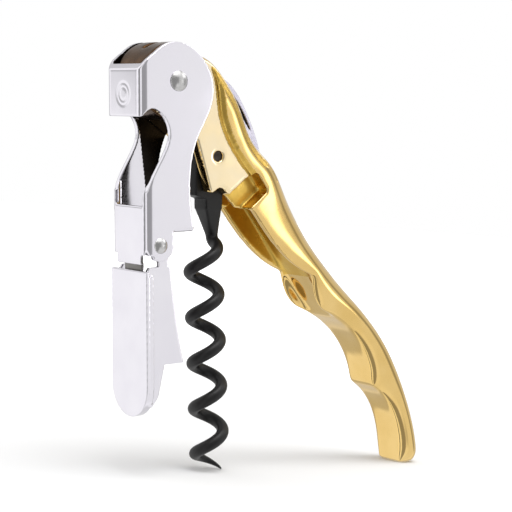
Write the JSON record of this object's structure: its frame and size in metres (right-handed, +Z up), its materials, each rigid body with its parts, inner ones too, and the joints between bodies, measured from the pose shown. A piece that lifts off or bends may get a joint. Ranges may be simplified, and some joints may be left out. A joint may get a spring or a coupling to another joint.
{
  "type": "lever corkscrew",
  "caption": "Double-hinged lever corkscrew with a cast handle, folded two-step lever, coated worm and a folding foil knife, standing on its worm tip and tail.",
  "frame": {"origin": "centre of the standing tool's box on the surface it stands on", "axes": "+Z up from the table, +X from the lever towards the handle's tail, +Y across the tool"},
  "size_m": [0.0962, 0.0164, 0.0994],
  "materials": {
    "gold": "polished gold-plated zinc die casting",
    "lever_steel": "polished nickel-plated folded steel sheet",
    "rivet_steel": "domed nickel-plated rivets",
    "black_coat": "satin black non-stick coating on steel wire",
    "blade_steel": "fine-ground stainless blade",
    "spring_steel": "tempered spring strip"
  },
  "bodies": {
    "handle": {"handle": "gold", "main_rivet": "rivet_steel", "worm_pin": "rivet_steel", "knife_washers": "spring_steel"},
    "upper_lever": {"upper_lever": "lever_steel", "hinge_rivet": "rivet_steel", "hinge_spring": "spring_steel"},
    "lower_lever": {"lower_lever": "lever_steel"},
    "worm": {"worm": "black_coat"},
    "foil_knife": {"foil_knife": "blade_steel"}
  },
  "joints": [
    {"name": "lever_swing", "type": "hinge", "parent": "handle", "child": "upper_lever", "pos_m": [-0.03765, 0, 0.09058], "axis": [0, 1, 0], "range_deg": [-36.5, 53.5]},
    {"name": "lower_lever_swing", "type": "hinge", "parent": "upper_lever", "child": "lower_lever", "pos_m": [-0.03937, 0, 0.05337], "axis": [0, 1, 0], "range_deg": [0, 50]},
    {"name": "worm_swing", "type": "hinge", "parent": "handle", "child": "worm", "pos_m": [-0.02413, 0, 0.07454], "axis": [0, 1, 0], "range_deg": [-35.1, 51.4]},
    {"name": "knife_swing", "type": "hinge", "parent": "handle", "child": "foil_knife", "pos_m": [-0.03765, 0, 0.09058], "axis": [0, -1, 0], "range_deg": [0, 84]}
  ],
  "couplings": [
    {"joint": "worm_swing", "follows": "lever_swing", "ratio": 0.96}
  ]
}
